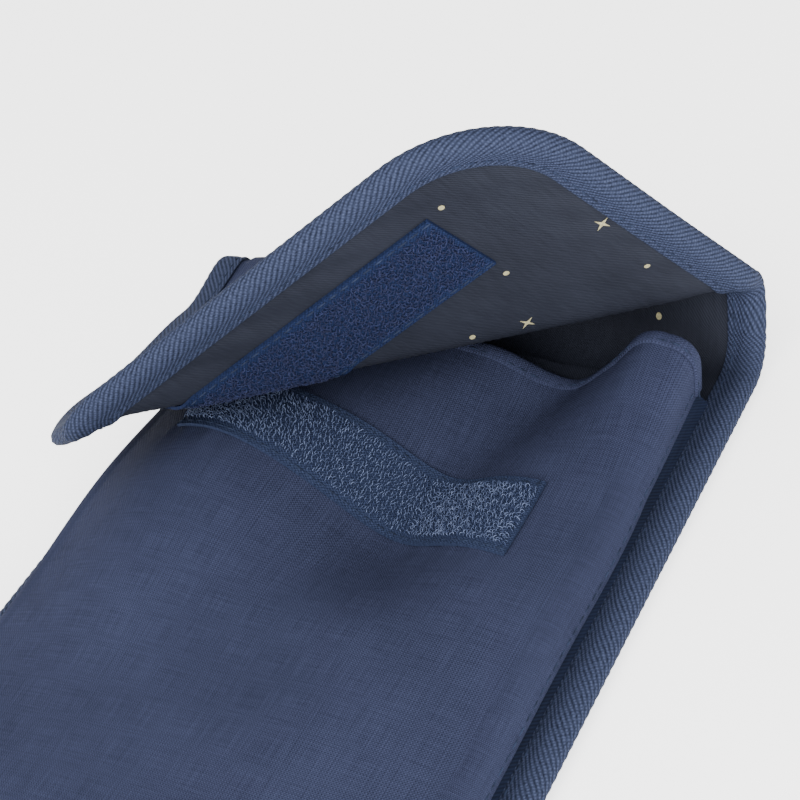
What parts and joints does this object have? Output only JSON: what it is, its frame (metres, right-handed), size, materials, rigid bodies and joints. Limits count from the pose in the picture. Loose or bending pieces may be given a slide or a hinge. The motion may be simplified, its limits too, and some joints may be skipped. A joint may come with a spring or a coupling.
{
  "type": "travel document organizer",
  "caption": "Soft bound pouch for travel papers, with a gusseted front pocket and a turn-over flap that closes with hook and loop tape.",
  "frame": {"origin": "middle of the flat back face that the pouch lies on", "axes": "+X to the right across the width, +Y up the body towards the mouth and the fold, +Z out of the front"},
  "size_m": [0.1352, 0.2444, 0.0862],
  "materials": {
    "outer_oxford": "navy polyester oxford, plain weave",
    "lining_twill": "charcoal polyester twill lining, printed with small gold motifs",
    "binding_tape": "navy ribbed polyester binding tape",
    "interlining_foam": "thin foam interlining, hidden",
    "hook_tape": "navy hook tape with clear hooks",
    "loop_tape": "navy brushed loop tape"
  },
  "bodies": {
    "root": {"back_outer_cloth": "outer_oxford", "back_interlining": "interlining_foam", "back_lining": "lining_twill", "front_pocket_cloth": "outer_oxford", "front_pocket_lining": "lining_twill", "inner_divider": "lining_twill", "left_gusset": "outer_oxford", "right_gusset": "outer_oxford", "bottom_gusset": "outer_oxford", "mouth_hem": "outer_oxford", "body_binding_left": "binding_tape", "body_binding_right": "binding_tape", "body_binding_bottom": "binding_tape", "hook_strip": "hook_tape"},
    "flap_base": {"flap_base_outer_cloth": "outer_oxford", "flap_base_interlining": "interlining_foam", "flap_base_lining": "lining_twill", "flap_base_binding_left": "binding_tape", "flap_base_binding_right": "binding_tape"},
    "flap_tip": {"flap_tip_outer_cloth": "outer_oxford", "flap_tip_interlining": "interlining_foam", "flap_tip_lining": "lining_twill", "flap_tip_binding_side": "binding_tape", "flap_tip_binding_edge": "binding_tape", "loop_strip": "loop_tape"}
  },
  "joints": [
    {"name": "flap_fold", "type": "hinge", "parent": "root", "child": "flap_base", "pos_m": [0, 0.12811, 0.0113], "axis": [-1, 0, 0], "range_deg": [0, 120]},
    {"name": "flap_peel", "type": "hinge", "parent": "flap_base", "child": "flap_tip", "pos_m": [-0.00005, 0.07695, 0.03365], "axis": [0.786, 0.6005, -0.1467], "range_deg": [-12, 61]}
  ]
}
